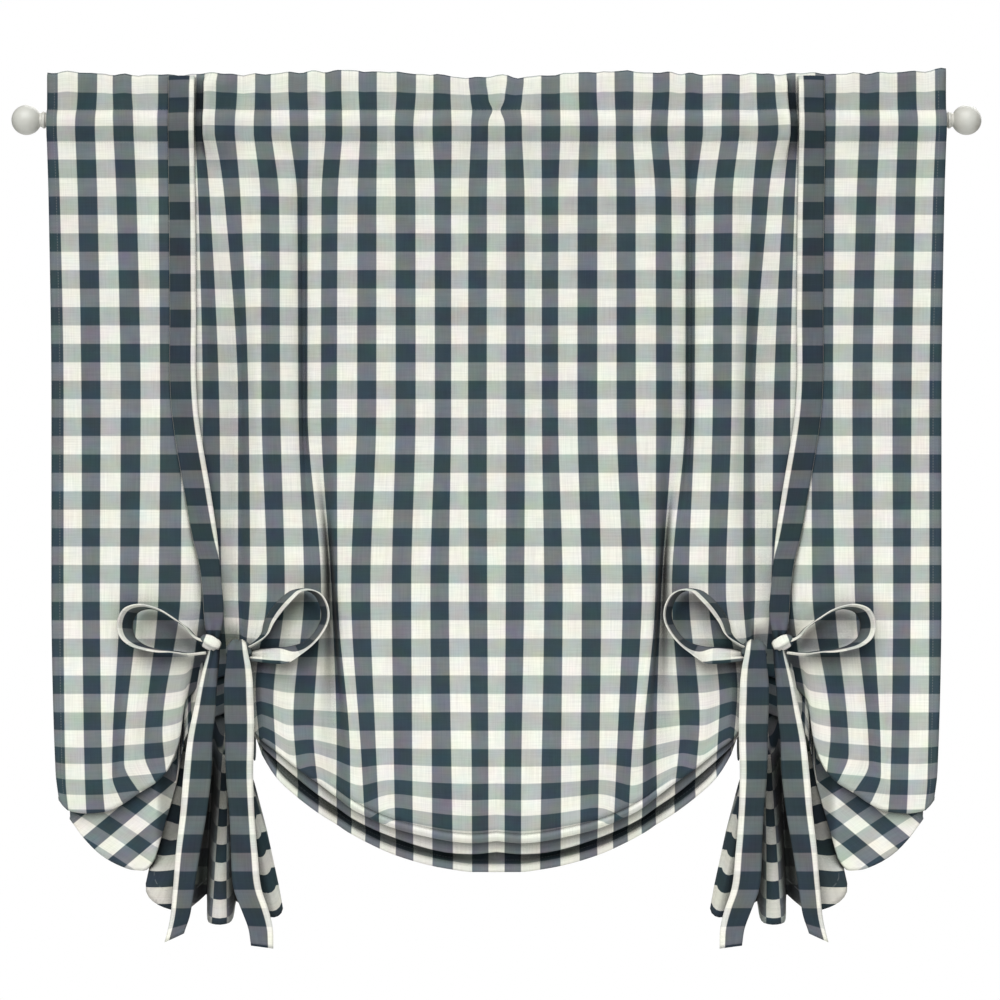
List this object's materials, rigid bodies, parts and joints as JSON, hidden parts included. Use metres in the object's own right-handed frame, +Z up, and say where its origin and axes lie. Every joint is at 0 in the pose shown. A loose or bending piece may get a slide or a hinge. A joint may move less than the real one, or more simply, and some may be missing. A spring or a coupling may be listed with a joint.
{
  "type": "tie-up shade on a curtain rod",
  "caption": "Checked cotton window shade hung from a curtain rod by a pocket, raised at cloth ties knotted in bows so that its lower edge falls in a folded swag.",
  "frame": {"origin": "on the rod's axis at its mid-length", "axes": "+X along the rod to the right as seen from the front, +Y towards the wall behind, +Z up"},
  "size_m": [1.261, 0.0992, 1.14],
  "materials": {
    "rod_paint": "satin off-white paint on turned wood",
    "check_cloth": "plain-woven cotton check in navy and cream",
    "tie_cloth": "plain-woven cotton check in navy and cream, cut as ties"
  },
  "bodies": {
    "root": {"rod": "rod_paint", "finial_left": "rod_paint", "finial_right": "rod_paint", "panel": "check_cloth", "tie_front_left": "tie_cloth", "tie_front_right": "tie_cloth", "tie_back_left": "tie_cloth", "tie_back_right": "tie_cloth"}
  },
  "joints": []
}
